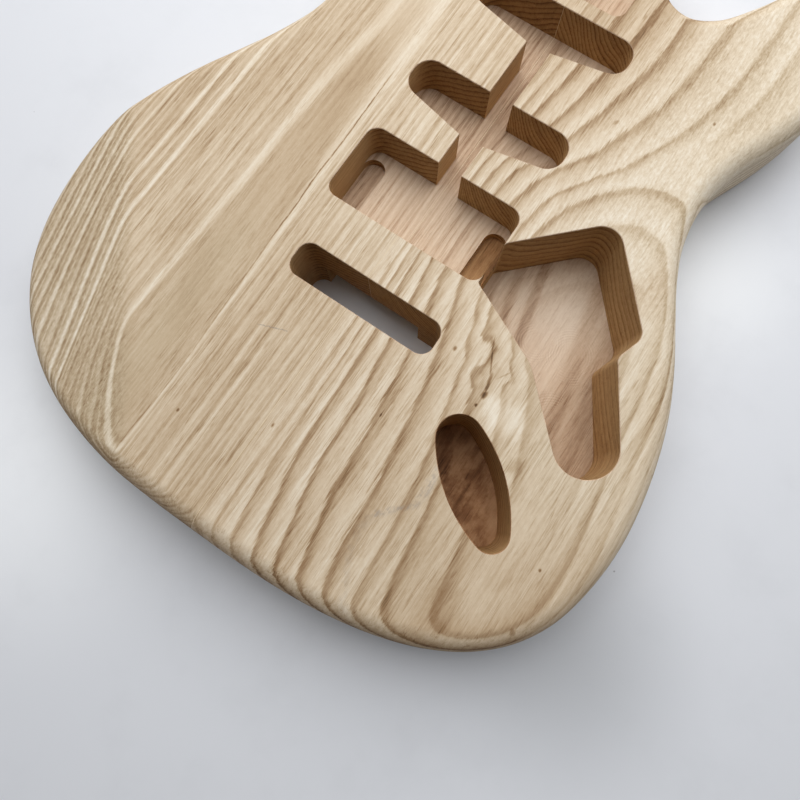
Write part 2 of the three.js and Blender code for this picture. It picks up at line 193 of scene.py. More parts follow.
def bake_down(piece):
    """Turns a piece with its modifiers into a plain mesh."""
    bpy.context.view_layer.update()
    evaluated = piece.evaluated_get(bpy.context.evaluated_depsgraph_get())
    mesh = bpy.data.meshes.new_from_object(evaluated)
    piece.modifiers.clear()
    old = piece.data
    piece.data = mesh
    bpy.data.meshes.remove(old)
    return piece


def carve(body, cutter, operation="DIFFERENCE"):
    """Cuts a body with a solid, or keeps what they share, and drops the cutter."""
    modifier = body.modifiers.new(cutter.name, "BOOLEAN")
    modifier.operation = operation
    modifier.solver = "MANIFOLD"
    modifier.object = cutter
    modifier.material_mode = "TRANSFER"
    bake_down(body)
    bpy.data.objects.remove(cutter)
    return body


def closed_solid(name, first, last):
    """Solid between two like rings of points."""
    count = len(first)
    faces = [tuple(reversed(range(count))), tuple(range(count, 2 * count))]
    faces += [(i, (i + 1) % count, count + (i + 1) % count, count + i) for i in range(count)]
    return new_piece(name, [*first, *last], faces)


def prism(name, outline, z0, z1):
    """Straight-sided solid over an anticlockwise outline."""
    return closed_solid(name, [(x, y, z0) for x, y in outline], [(x, y, z1) for x, y in outline])


# Outline curves

def plan_point(share):
    return np.array((share[0] * HALF_WIDTH, share[1] * BODY_LENGTH))


def body_outline():
    """Closed centripetal spline through the outline's points."""
    knots = np.array([plan_point(share) for share in OUTLINE_SHARES])
    before, after, beyond = (np.roll(knots, -step, axis=0) for step in (-1, 1, 2))
    spans = [np.linalg.norm(b - a, axis=1) ** 0.5 for a, b in ((before, knots), (knots, after), (after, beyond))]
    first, middle, last = (span[:, None] for span in spans)
    start = middle * (
        (knots - before) / first - (after - before) / (first + middle) + (after - knots) / middle
    )
    end = middle * (
        (after - knots) / middle - (beyond - knots) / (middle + last) + (beyond - after) / last
    )
    square = 3 * (after - knots) - 2 * start - end
    cube = 2 * (knots - after) + start + end
    shares = np.arange(OUTLINE_STEPS) / OUTLINE_STEPS
    return np.array([
        knots[i] + start[i] * t + square[i] * t**2 + cube[i] * t**3
        for i in range(len(knots)) for t in shares
    ])


def rounded(corners, radii):
    """Closed outline with rounded corners."""
    points = []
    for i, corner in enumerate(corners):
        corner = Vector(corner)
        back = (Vector(corners[i - 1]) - corner).normalized()
        ahead = (Vector(corners[(i + 1) % len(corners)]) - corner).normalized()
        half = math.acos(max(-1.0, min(1.0, back.dot(ahead)))) / 2
        centre = corner + (back + ahead).normalized() * radii[i] / math.sin(half)
        start = corner + back * radii[i] / math.tan(half) - centre
        end = corner + ahead * radii[i] / math.tan(half) - centre
        turn = math.atan2(start.x * end.y - start.y * end.x, start.dot(end))
        for step in range(CORNER_STEPS + 1):
            angle = turn * step / CORNER_STEPS
            cosine, sine = math.cos(angle), math.sin(angle)
            points.append((
                centre.x + start.x * cosine - start.y * sine,
                centre.y + start.x * sine + start.y * cosine,
            ))
    return points


def rectangle(x0, y0, x1, y1, radius):
    corners = [(x0, y0), (x1, y0), (x1, y1), (x0, y1)]
    return rounded(corners, [radius] * 4) if radius else corners


def share_radii(corners, shares):
    """Radii that round each corner over a share of the shorter of its two sides."""
    radii = []
    for i, corner in enumerate(corners):
        back = Vector(corners[i - 1]) - Vector(corner)
        ahead = Vector(corners[(i + 1) % len(corners)]) - Vector(corner)
        half = back.angle(ahead) / 2
        radii.append(shares[i] * min(back.length, ahead.length) * math.tan(half))
    return radii


def coil_outline(far):
    """Single-coil cavity: round ends and a shallow V on the bridge side."""
    left, right = PICKUP_OFFSET - COIL_LENGTH / 2, PICKUP_OFFSET + COIL_LENGTH / 2
    corners = [
        (right, far), (left, far), (left, far - COIL_WIDTH), (PICKUP_OFFSET, far - COIL_WIDTH - COIL_VEE),
        (right, far - COIL_WIDTH),
    ]
    return rounded(corners, [COIL_RADIUS, COIL_RADIUS, COIL_RADIUS, COIL_VEE_RADIUS, COIL_RADIUS])


def control_outline():
    left = PICKUP_OFFSET + BRIDGE_CAVITY_LENGTH / 2
    width = HALF_WIDTH - CONTROL_WALL - left
    corners = [
        (left + across * width, CONTROL_FROM_BUTT + along * CONTROL_LENGTH) for across, along in CONTROL_SHARES
    ]
    return rounded(corners, share_radii(corners, CONTROL_ROUND_SHARES))[::-1]


def jack_outline():
    """Egg shape: an arc round each end and two long side arcs that run tangent into them."""
    width = JACK_WIDTH / 2
    drop = JACK_SIDE_RADIUS - width
    lower_run, upper_run = (
        math.sqrt((width - radius) * (2 * JACK_SIDE_RADIUS - radius - width))
        for radius in (JACK_LOWER_RADIUS, JACK_UPPER_RADIUS)
    )
    lower, upper, quarter = math.atan2(lower_run, drop), math.atan2(upper_run, drop), math.pi / 2
    arcs = [
        (lower_run, 0, JACK_LOWER_RADIUS, lower - quarter, quarter - lower),
        (0, -drop, JACK_SIDE_RADIUS, quarter - lower, quarter + upper),
        (-upper_run, 0, JACK_UPPER_RADIUS, quarter + upper, 3 * quarter - upper),
        (0, drop, JACK_SIDE_RADIUS, 3 * quarter - upper, 3 * quarter + lower),
    ]
    centre = plan_point(JACK_SHARES)
    cosine, sine = math.cos(JACK_ANGLE), math.sin(JACK_ANGLE)
    points = []
    for x, y, radius, begin, finish in arcs:
        for step in range(OVAL_STEPS):
            angle = begin + (finish - begin) * step / OVAL_STEPS
            px, py = x + radius * math.cos(angle), y + radius * math.sin(angle)
            points.append((centre[0] + px * cosine - py * sine, centre[1] + px * sine + py * cosine))
    return points


# Contours of the front and the back

FOREARM_START, FOREARM_END = (plan_point(share) for share in FOREARM_LINE_SHARES)
FOREARM_ALONG = (FOREARM_END - FOREARM_START) / np.linalg.norm(FOREARM_END - FOREARM_START)
FOREARM_ACROSS = np.array((FOREARM_ALONG[1], -FOREARM_ALONG[0]))
FOREARM_SLOPE = FOREARM_DROP / (math.hypot(FOREARM_WIDTH, FOREARM_BLEND) - FOREARM_BLEND)
BELLY_PLACE = plan_point(BELLY_SHARES)


def forearm_fall(distance):
    return FOREARM_SLOPE * (math.hypot(distance, FOREARM_BLEND) - FOREARM_BLEND) if distance > 0 else 0.0


def front_height(place):
    return BODY_THICKNESS - forearm_fall(float((place - FOREARM_START) @ FOREARM_ACROSS))


def back_height(place):
    across = place[1] - BELLY_PLACE[1]
    if abs(across) >= BELLY_RADIUS:
        return 0.0
    sag = BELLY_RADIUS - math.sqrt(BELLY_RADIUS**2 - across**2)
    return max(0.0, BELLY_DEPTH * (1 - (place[0] - BELLY_PLACE[0]) / BELLY_REACH) - sag)


def edge_radius(place, full):
    """Nearly square beside the neck pocket, full elsewhere."""
    if place[1] <= NECK_POCKET_FROM_BUTT:
        return full
    share = min(1.0, max(0.0, (abs(place[0]) - EDGE_FADE[0]) / (EDGE_FADE[1] - EDGE_FADE[0])))
    return HEEL_EDGE_RADIUS + (full - HEEL_EDGE_RADIUS) * share * share * (3 - 2 * share)


def edge_arc(place, outward, full, height, upward):
    """Quarter round at one place on the outline, tangent to the surface that it runs into."""
    radius = edge_radius(place, full)
    fall = upward * (height(place - outward * radius) - height(place)) / radius
    tilt = max(0.0, math.atan(fall))
    tangent_inset = radius * (1 - math.sin(tilt))
    centre = height(place - outward * tangent_inset) - upward * radius * math.cos(tilt)
    arc = []
    for step in range(EDGE_STEPS + 1):
        angle = (math.pi / 2 - tilt) * step / EDGE_STEPS
        spot = place - outward * radius * (1 - math.cos(angle))
        arc.append((spot[0], spot[1], centre + upward * radius * math.sin(angle)))
    arc.append((arc[-1][0], arc[-1][1], BODY_THICKNESS + OVERRUN if upward > 0 else -OVERRUN))
    return arc


def directions(outline):
    """Way along a closed outline at each of its points."""
    way = np.roll(outline, -1, axis=0) - np.roll(outline, 1, axis=0)
    return way / np.linalg.norm(way, axis=1)[:, None]


def rounded_blank():
    """Blank with its rounded edges, standing proud of both faces until they are faced."""
    outline = body_outline()
    columns = []
    for place, way in zip(outline, directions(outline)):
        outward = np.array((way[1], -way[0]))
        back = edge_arc(place, outward, BACK_EDGE_RADIUS, back_height, -1)[::-1]
        columns.append(back + edge_arc(place, outward, FRONT_EDGE_RADIUS, front_height, 1))
    count, rows = len(columns), len(columns[0])
    points = [point for column in columns for point in column]
    faces = []
    for i in range(count):
        here, there = i * rows, (i + 1) % count * rows
        faces += [(here + row, there + row, there + row + 1, here + row + 1) for row in range(rows - 1)]
    faces.append(tuple(i * rows for i in reversed(range(count))))
    faces.append(tuple(i * rows + rows - 1 for i in range(count)))
    return new_piece("rounded_blank", points, faces)


def front_facing():
    """Cutter above the front: flat up to the forearm line, then following the bevel."""
    reach, top = BODY_LENGTH, BODY_THICKNESS + 2 * OVERRUN
    profile = [(-reach, BODY_THICKNESS), (0.0, BODY_THICKNESS)]
    for step in range(1, BEVEL_STEPS + 1):
        distance = 2 * FOREARM_WIDTH * (step / BEVEL_STEPS) ** BEVEL_CROWDING
        profile.append((distance, BODY_THICKNESS - forearm_fall(distance)))
    profile += [(profile[-1][0], top), (-reach, top)]
    rings = [
        [(*(FOREARM_START + FOREARM_ACROSS * distance + FOREARM_ALONG * side), z) for distance, z in profile]
        for side in (-reach, reach)
    ]
    return close_up(closed_solid("front_facing", *rings))


def belly_scoop():
    """Cutter of the belly contour: a round profile drawn along a slope."""
    half_arc = math.asin(BODY_LENGTH / 4 / BELLY_RADIUS)
    profile = []
    for step in range(SCOOP_STEPS + 1):
        angle = half_arc * (2 * step / SCOOP_STEPS - 1)
        profile.append((BELLY_RADIUS * math.sin(angle), BELLY_RADIUS * (math.cos(angle) - 1)))
    profile += [(profile[-1][0], -BELLY_RADIUS), (profile[0][0], -BELLY_RADIUS)]
    slope = BELLY_DEPTH / BELLY_REACH
    rings = [
        [(run + BELLY_REACH + BELLY_PLACE[0], BELLY_PLACE[1] + across, z - slope * run) for across, z in profile]
        for run in (-BODY_LENGTH, 0)
    ]
    return close_up(closed_solid("belly_scoop", *rings))


# Node trees

class Field:
    """A number that varies over a piece: an output socket of a node tree that can be reckoned with."""

    def __init__(self, tree, socket):
        self.tree = tree
        self.socket = socket

    def calc(self, operation, *others):
        node = add_node(self.tree, "ShaderNodeMath", self, *others, settings={"operation": operation})
        return Field(self.tree, node.outputs[0])

    def __add__(self, other):
        return self.calc("ADD", other)

    def __sub__(self, other):
        return self.calc("SUBTRACT", other)

    def __rsub__(self, other):
        return self.calc("MULTIPLY", -1.0).calc("ADD", other)

    def __mul__(self, other):
        return self.calc("MULTIPLY", other)

    def __truediv__(self, other):
        return self.calc("DIVIDE", other)

    def absolute(self):
        return self.calc("ABSOLUTE")

    def at_least(self, other):
        return self.calc("MAXIMUM", other)

    def hypot(self, other):
        return (self * self + other * other).calc("SQRT")

    def ramp(self, low, high, to_low=0.0, to_high=1.0):
        """Smooth step from one value to another between two limits."""
        node = add_node(
            self.tree, "ShaderNodeMapRange", settings={"interpolation_type": "SMOOTHSTEP"}, Value=self,
            From_Min=low, From_Max=high, To_Min=to_low, To_Max=to_high,
        )
        return Field(self.tree, node.outputs[0])

    def fall(self, low, high):
        """1 up to the first limit, 0 past the second."""
        return self.ramp(low, high, 1.0, 0.0)

    def bump(self, middle, width):
        """1 at a value, falling away smoothly on both sides."""
        distance = (self - middle) / width
        return (distance * distance * -1.0).calc("EXPONENT")

    def curve(self, points):
        """Value read off a smooth curve through (place, value) points."""
        start, end = points[0][0], points[-1][0]
        values = [value for _, value in points]
        low, high = min(values), max(values)
        node = add_node(self.tree, "ShaderNodeFloatCurve", Value=(self - start) / (end - start))
        line = node.mapping.curves[0]
        for place, value in points[1:-1]:
            line.points.new((place - start) / (end - start), (value - low) / (high - low))
        line.points[0].location = (0.0, (values[0] - low) / (high - low))
        line.points[-1].location = (1.0, (values[-1] - low) / (high - low))
        node.mapping.update()
        return Field(self.tree, node.outputs[0]) * (high - low) + low

    def through(self, profile):
        """Value read off a profile that is run through once from each whole number to the next."""
        return self.calc("FRACT").curve(profile)


def feed(tree, socket, value):
    """Links a field or a socket to an input, or gives it a plain value."""
    if isinstance(value, Field):
        value = value.socket
    if isinstance(value, bpy.types.NodeSocket):
        tree.links.new(value, socket)
    else:
        socket.default_value = value


def add_node(tree, kind, *values, settings=None, **named):
    """Node with its settings, its inputs given in their order or by name, with _ for a space."""
    node = tree.nodes.new(kind)
    for name, value in (settings or {}).items():
        setattr(node, name, value)
    for socket, value in zip(node.inputs, values):
        feed(tree, socket, value)
    for name, value in named.items():
        feed(tree, node.inputs[name.replace("_", " ")], value)
    return node


def new_tree(name, kind, inputs, outputs):
    """Node group with named inputs, given as (name, kind, default), and outputs, given as (name, kind)."""
    tree = bpy.data.node_groups.new(name, kind)
    for label, socket_kind, value in inputs:
        socket = tree.interface.new_socket(label, in_out="INPUT", socket_type="NodeSocket" + socket_kind)
        if value is not None:
            socket.default_value = value
    for label, socket_kind in outputs:
        tree.interface.new_socket(label, in_out="OUTPUT", socket_type="NodeSocket" + socket_kind)
    given = tree.nodes.new("NodeGroupInput").outputs
    return tree, given, tree.nodes.new("NodeGroupOutput").inputs


def new_group(name, inputs, outputs):
    """Shader node group that takes and gives numbers."""
    tree, given, results = new_tree(
        name, "ShaderNodeTree", [(label, "Float", value) for label, value in inputs.items()],
        [(label, "Float") for label in outputs],
    )
    return tree, [Field(tree, given[label]) for label in inputs], results


def put_out(tree, results, *fields):
    """Gives a group its outputs, in their order."""
    for socket, field in zip(results, fields):
        feed(tree, socket, field)
    return tree


def use_group(tree, group, **values):
    """Outputs of a shader node group placed in a tree, in their order."""
    node = add_node(tree, "ShaderNodeGroup", settings={"node_tree": group}, **values)
    return [Field(tree, socket) for socket in node.outputs]


def noise(place, stretch, detail=2.0, roughness=0.5):
    """Cloudy noise around 0, about 1 from trough to crest, its fineness given for each direction."""
    tree = place[0].tree
    spot = add_node(tree, "ShaderNodeCombineXYZ", *(field * scale for field, scale in zip(place, stretch)))
    node = add_node(
        tree, "ShaderNodeTexNoise", Vector=spot.outputs[0], Scale=1.0, Detail=detail, Roughness=roughness,
    )
    return Field(tree, node.outputs["Fac"]) - 0.5


def plan_of_object(tree):
    """Across, along and up in millimetres, on the plan."""
    coordinates = tree.nodes.new("ShaderNodeTexCoord")
    parts = add_node(tree, "ShaderNodeSeparateXYZ", coordinates.outputs["Object"]).outputs
    x, y, z = (Field(tree, socket) * (1 / MM) for socket in parts)
    return x, y + BODY_LENGTH / 2, z


def oval(x, y, place):
    """Distance from the middle of an oval place on the plan, 1 on its rim."""
    across, along, half_width, half_length = place
    return ((x - across) / half_width).hypot((y - along) / half_length)


# Routing

def extrude(tree, mesh, height, selection=True):
    """Lifts faces of a mesh; gives the mesh and the choice of its lifted faces."""
    offset = add_node(tree, "ShaderNodeCombineXYZ", Z=height)
    node = add_node(
        tree, "GeometryNodeExtrudeMesh", settings={"mode": "FACES"}, Mesh=mesh, Selection=selection,
        Offset=offset.outputs[0], Offset_Scale=1.0, Individual=False,
    )
    return node.outputs["Mesh"], node.outputs["Top"]


def end_tree(tree, geometry, material, results):
    """Ends a geometry tree with its instances made real and its material set."""
    real = add_node(tree, "GeometryNodeRealizeInstances", geometry)
    finish = add_node(tree, "GeometryNodeSetMaterial", Geometry=real.outputs[0], Material=material)
    return put_out(tree, results, finish.outputs[0])


def run_tree(piece, tree, **values):
    """Runs a geometry tree on a piece, its inputs set by their identifiers, and keeps the plain mesh."""
    modifier = piece.modifiers.new(tree.name, "NODES")
    modifier.node_group = tree
    for socket in tree.interface.items_tree:
        if socket.name in values:
            modifier[socket.identifier] = values[socket.name]
    return bake_down(piece)


def router_pass_tree():
    """Turns the flat floor of a cavity into its cutter: straight walls, an eased mouth and some overrun."""
    tree, given, results = new_tree("router pass", "GeometryNodeTree", [
        ("Floor", "Geometry", None), ("Depth", "Float", PICKUP_DEPTH * MM), ("Ease", "Float", MOUTH_EASE * MM),
        ("Overrun", "Float", OVERRUN * MM), ("Material", "Material", None),
    ], [("Cutter", "Geometry")])
    floor, ease = given["Floor"], given["Ease"]
    walls, top = extrude(tree, floor, Field(tree, given["Depth"]) - Field(tree, ease))
    mouth, rim = extrude(tree, walls, ease, top)
    outward = add_node(
        tree, "GeometryNodeInputNamedAttribute", settings={"data_type": "FLOAT_VECTOR"}, Name="outward",
    )
    flare = add_node(
        tree, "ShaderNodeVectorMath", outward.outputs["Attribute"], settings={"operation": "SCALE"}, Scale=ease,
    )
    spread = add_node(tree, "GeometryNodeSetPosition", Geometry=mouth, Selection=rim, Offset=flare.outputs[0])
    proud, _ = extrude(tree, spread.outputs[0], given["Overrun"], rim)
    base = add_node(tree, "GeometryNodeFlipFaces", floor)
    join = add_node(tree, "GeometryNodeJoinGeometry", proud)
    feed(tree, join.inputs[0], base.outputs[0])
    weld = add_node(tree, "GeometryNodeMergeByDistance", Geometry=join.outputs[0], Distance=WELD_DISTANCE)
    return end_tree(tree, weld.outputs[0], given["Material"], results)


def screw_hole_tree():
    """The four neck screw holes, drilled through on a two by two grid."""
    tree, given, results = new_tree("neck screw holes", "GeometryNodeTree", [
        ("Across", "Float", 0.0), ("Along", "Float", 0.0), ("Middle", "Vector", None),
        ("Radius", "Float", SCREW_HOLE_RADIUS * MM), ("Length", "Float", 2 * BODY_THICKNESS * MM),
        ("Material", "Material", None),
    ], [("Drills", "Geometry")])
    grid = add_node(
        tree, "GeometryNodeMeshGrid", Size_X=given["Across"], Size_Y=given["Along"], Vertices_X=2, Vertices_Y=2,
    )
    place = add_node(tree, "GeometryNodeTransform", Geometry=grid.outputs[0], Translation=given["Middle"])
    drill = add_node(
        tree, "GeometryNodeMeshCylinder", Vertices=HOLE_STEPS, Radius=given["Radius"], Depth=given["Length"],
    )
    put = add_node(tree, "GeometryNodeInstanceOnPoints", Points=place.outputs[0], Instance=drill.outputs["Mesh"])
    return end_tree(tree, put.outputs[0], given["Material"], results)


def anticlockwise(outline):
    area = sum(
        outline[i - 1][0] * outline[i][1] - outline[i][0] * outline[i - 1][1] for i in range(len(outline))
    )
    return list(outline) if area > 0 else list(outline)[::-1]


def router_cutter(name, outline, depth, tree, material):
    """Cutter of one front cavity, made by the router pass."""
    outline = anticlockwise(outline)
    cutter = new_piece(name, [(x, y, BODY_THICKNESS - depth) for x, y in outline], [tuple(range(len(outline)))])
    way = directions(outline)
    outward = cutter.data.attributes.new("outward", "FLOAT_VECTOR", "POINT")
    outward.data.foreach_set("vector", np.stack((way[:, 1], -way[:, 0], way[:, 0] * 0), axis=1).ravel())
    return run_tree(cutter, tree, Depth=depth * MM, Material=material)


def screw_drills(material):
    middle = (HEEL_FROM_BUTT + NECK_POCKET_FROM_BUTT - BODY_LENGTH) / 2
    return run_tree(
        new_piece("neck_screw_drills", [], []), screw_hole_tree(),
        Across=2 * (NECK_POCKET_HALF - SCREW_FROM_SIDES) * MM,
        Along=(HEEL_FROM_BUTT - NECK_POCKET_FROM_BUTT - 2 * SCREW_FROM_ENDS) * MM,
        Middle=(0.0, middle * MM, BODY_THICKNESS / 2 * MM),
        Material=material,
    )


def routed_outlines():
    """Every cavity of the front: its name, outline and depth."""
    left = PICKUP_OFFSET - BRIDGE_CAVITY_LENGTH / 2
    right = PICKUP_OFFSET + BRIDGE_CAVITY_LENGTH / 2
    near, far = BRIDGE_FROM_BUTT, BRIDGE_FROM_BUTT + BRIDGE_CAVITY_WIDTH
    bass_leg, treble_leg = (
        rectangle(x0, near, x1, near + LEG_SLOT_LENGTH, LEG_SLOT_RADIUS)
        for x0, x1 in ((left, left + LEG_SLOT_WIDTH), (right - LEG_SLOT_WIDTH, right))
    )
    slot_left = TREMOLO_OFFSET - TREMOLO_SLOT_LENGTH / 2
    slot_near = TREMOLO_FROM_BUTT - TREMOLO_SLOT_WIDTH / 2
    slot = rectangle(
        slot_left, slot_near, slot_left + TREMOLO_SLOT_LENGTH, slot_near + TREMOLO_SLOT_WIDTH,
        TREMOLO_SLOT_RADIUS,
    )
    channel = rectangle(
        CHANNEL_OFFSET - CHANNEL_WIDTH / 2, far - BRIDGE_CAVITY_WIDTH / 2,
        CHANNEL_OFFSET + CHANNEL_WIDTH / 2, NECK_COIL_FAR - COIL_WIDTH / 2, 0,
    )
    pocket = rectangle(
        -NECK_POCKET_HALF, NECK_POCKET_FROM_BUTT, NECK_POCKET_HALF, BODY_LENGTH, NECK_POCKET_RADIUS,
    )
    return [
        ("tremolo_slot", slot, BODY_THICKNESS + OVERRUN),
        ("bridge_pickup_cavity", rectangle(left, near, right, far, BRIDGE_CAVITY_RADIUS), PICKUP_DEPTH),
        ("bass_leg_slot", bass_leg, LEG_SLOT_DEPTH),
        ("treble_leg_slot", treble_leg, LEG_SLOT_DEPTH),
        ("middle_pickup_cavity", coil_outline(MIDDLE_COIL_FAR), PICKUP_DEPTH),
        ("neck_pickup_cavity", coil_outline(NECK_COIL_FAR), PICKUP_DEPTH),
        ("wire_channel", channel, PICKUP_DEPTH),
        ("neck_pocket", pocket, NECK_POCKET_DEPTH),
        ("control_cavity", control_outline(), CONTROL_DEPTH),
        ("jack_cavity", jack_outline(), JACK_DEPTH),
    ]


def spring_outline():
    half = SPRING_CAVITY_WIDTH / 2
    return rectangle(
        PICKUP_OFFSET - half, TREMOLO_FROM_BUTT, PICKUP_OFFSET + half, SPRING_CAVITY_END, SPRING_CAVITY_RADIUS,
    )


# Treble plank: growth layers, counted in dark bands from the glued joint
NARROWING = (
    (0, 1.0), (30, 0.985), (60, 0.95), (80, 0.91), (100, 0.86), (120, 0.80), (135, 0.745), (150, 0.685),
    (165, 0.62), (190, 0.585), (215, 0.61), (223, 0.635), (234, 0.71), (245, 0.80), (255, 0.90), (265, 0.97),
    (282, 1.07), (300, 1.16), (340, 1.25), (400, 1.27), (460, 1.25),
)
BANDS_ACROSS = (
    (0, 0.1), (8, 1), (14, 2), (21.6, 3), (32.5, 4), (45, 5), (61, 6), (78, 7), (89, 8), (109, 9), (125, 10),
    (145, 11), (165, 12), (300, 18),
)

# Oval places of the treble plank: across, along, half width, half length
LOOP = (95, 130, 42, 107)
DOME = (107, 130, 60, 107)
CURL = (72, 142, 19, 24)
BROWN_PATCH = (108, 34, 13, 17)
PALE_NOSE = (88, 121, 12, 10)
WARM_PATCH = (114, 207, 9, 18)
# Place of a painted pool of light on the floor of the control cavity
PAINTED_LIGHT_POOL = (86, 172, 24, 40)
JACK_FLOOR = (93, 89, 40, 32)

# The loops' outermost layer, how many layers each holds from its middle out, and how the inner ones lie
RIM_LAYER = 9.0
LOOP_LAYERS = 4.35
DOME_LAYERS = 5.0
LOOP_EYE = 0.72
LOOP_LEAN = 22

# Bass plank: height of one growth surface across the plank, and the layers above and below it. The layers lie
# flat under the plain patch; they dip steeply towards the edge of the body and gently towards the joint.
PLAIN_PATCH = (-74, -60)
PLAIN_MIDDLE = (-66, 13)
EDGE_RISE = (
    (-170, -68), (-160, -55), (-150, -43), (-140, -32), (-133, -25.5), (-126, -20.5), (-116, -15.4),
    (-107, -11.2), (-96, -5.6), (-88, -2.4), (-82, -1.0), (-78, -0.55), (-67, 0), (-40, -0.5),
)
EDGE_LAYERS = (
    (-100, 14.5), (-70, 11.5), (-50, 9.4), (-38.5, 8), (-31.5, 7), (-25.5, 6), (-20.5, 5), (-15.4, 4), (-12, 3),
    (-8.8, 2), (-5.6, 1), (-3, 0), (-0.94, -1), (0.6, -2), (2, -2.6), (10, -6),
)
JOINT_RISE = (
    (-88, -0.5), (-67, 0), (-58, -0.1), (-53, -0.35), (-48, -0.94), (-43, -4.0), (-36, -7.0), (-29, -9.8),
    (-22, -13.1), (-14, -16.5), (-8, -19.8), (-2, -23.2), (0, -24.3),
)
JOINT_LAYERS = (
    (-72, 21), (-33, 9), (-19.8, 5), (-16.5, 4), (-13.1, 3), (-9.8, 2), (-7.0, 1), (-4.0, 0), (-0.94, -1),
    (0.6, -2), (2, -2.6), (10, -6.0),
)
LAYER_DRIFT = 0.0047
LAYERS_LEVEL_AT = 120.0

# How a layer looks from one dark line to the next: porous early wood, and the cream line beside it
POROUS_PROFILE = (
    (0, 1.0), (0.07, 0.95), (0.17, 0.62), (0.30, 0.36), (0.45, 0.22), (0.62, 0.06), (0.80, 0.0), (0.91, 0.25),
    (0.96, 0.85), (1, 1.0),
)
CREAM_PROFILE = (
    (0, 1.0), (0.12, 0.78), (0.22, 0.25), (0.32, 0.0), (0.44, 0.05), (0.50, 0.5), (0.56, 0.1), (0.68, 0.0),
    (0.80, 0.15), (0.90, 0.75), (1, 1.0),
)

# A growth ring on a routed wall is one fine dark line. Each plank shows its own number of them to a layer, and
# the walls of the control cavity this many.
RING_PROFILE = ((0, 1.0), (0.10, 0.85), (0.28, 0.35), (0.55, 0.05), (0.84, 0.0), (0.93, 0.5), (1, 1.0))
CONTROL_RINGS = 1.3

# Strength of each dark band of the treble plank and of each cream line of the bass plank
BAND_STRENGTHS = (
    (-8, 0.55), (0, 0.5), (1, 0.55), (2, 0.65), (3, 0.95), (4, 1.0), (5, 0.95), (6, 0.9), (7, 0.75), (8, 0.85),
    (9, 0.6), (10, 0.5), (11, 0.8), (12, 0.8), (18, 0.7),
)
EDGE_CREAM = (
    (-6, 0.0), (-1.6, 0.0), (-1, 1.1), (-0.4, 0.4), (1, 0.55), (2, 0.35), (3, 0.4), (4, 1.0), (5, 1.0), (6, 0.6),
    (7, 1.1), (8, 0.9), (9, 1.1), (10, 0.8), (20, 0.8),
)
JOINT_CREAM = ((-6, 0.0), (-1.6, 0.0), (-1, 1.0), (0, 0.55), (1, 0.45), (2, 0.6), (3, 0.7), (4, 0.6), (20, 0.6))

# Marks in the wood: across, along, half width, half length, turn from the length in degrees, strength
DARK_MARKS = (
    (75.9, 124.4, 1.2, 2.0, 0, 1.0), (75.2, 118.4, 0.7, 0.9, 0, 0.9), (74.6, 130, 0.8, 5.0, 12, 0.8),
    (70.5, 139, 0.45, 6.0, 27, 0.6), (66.5, 147, 0.4, 4.0, 20, 0.4), (78.5, 137, 0.4, 3.0, -30, 0.35),
    (53, 135.4, 0.8, 1.2, 0, 0.8), (96.7, 302.9, 0.7, 1.1, 0, 0.7), (42.1, 90.5, 0.5, 0.9, 0, 0.7),
    (4.2, 59.4, 0.5, 1.1, 0, 0.8), (137.2, 73.1, 0.6, 0.8, 0, 0.8), (-35.7, 40.7, 0.6, 0.9, 0, 0.7),
    (141, 45, 1.2, 1.6, 40, 0.5), (105, 105, 3.5, 4.0, 0, 0.3), (56, 277, 0.9, 2.0, -20, 0.5),
)

# Hairline and smudge drawn along the body: across at each place along. The pencil stroke is straight.
HAIRLINE = (
    (0, -48.5), (25, -48.0), (40, -47.2), (60, -47.2), (80, -47.8), (100, -48.6), (120, -49.4), (140, -50.2),
    (150, -50.2), (170, -51.2), (190, -51.0), (215, -51.6), (260, -52.4),
)
SMUDGE = ((8, 77), (14.5, 74.7), (24, 69.9), (36, 64.5), (45, 63.7), (59, 70.4), (71, 78.2), (83, 77), (92, 73))
PENCIL_FROM = (-29.5, 93.8)
PENCIL_TO = (-16.3, 98.7)

# Dark bands across the floor of the control cavity, from its side near the bridge, and how they lean
FLOOR_BANDS = (
    (40, 0.9), (47, 0.8), (50, 0.35), (53, 0.05), (56, 0.5), (59, 0.75), (62, 0.15), (65, 0.1), (68, 0.8),
    (71, 1.0), (74, 0.2), (80, 0.0), (95, 0.0), (101, 0.5), (105, 0.55), (109, 0.2), (115, 0.55), (122, 0.5),
    (140, 0.5),
)
FLOOR_BAND_LEAN = 0.22
FLOOR_BANDS_AT = 190.0

# Where the cutter turned on the floors: across, along and radius. Then the fineness and the spread of its marks.
CUTTER_TURNS = ((84, 172, 9), (112, 140, 10), (103, 176, 12))
TURN_FINENESS = 4.6
TURN_SPREAD = 5.5

# Colours from the darkest tone to the palest
SANDED_TONES = (
    (0.0, (92, 66, 42)), (0.25, (146, 115, 82)), (0.5, (184, 159, 128)), (0.72, (209, 189, 162)),
    (1.0, (236, 225, 206)),
)
PALE_TONES = (
    (0.0, (104, 82, 56)), (0.25, (157, 131, 98)), (0.5, (196, 177, 148)), (0.72, (221, 206, 182)),
    (1.0, (240, 232, 217)),
)
ROUTED_TONES = (
    (0.0, (104, 76, 52)), (0.25, (156, 124, 96)), (0.5, (193, 165, 138)), (0.72, (212, 188, 162)),
    (1.0, (232, 214, 192)),
)

# Colours over them: pencil, painted glare on a floor, and what multiplies the leg slot, the walls (partly
# painted shade and bounced light), their end grain and the jack cavity
PENCIL_GREY = (128, 122, 122)
FLOOR_GLARE = (213, 192, 174)
LEG_SLOT_TINT = (232, 208, 164)
WALL_TINT_AND_PAINTED_SHADE = (240, 224, 188)
END_GRAIN_TINT = (238, 236, 226)
JACK_TINT = (214, 186, 158)
GLUE_COLOUR = (222, 203, 170)

# Inputs of every group that goes by the place on the plan
PLACE = {"Across": 0.0, "Along": 0.0, "Up": 0.0}


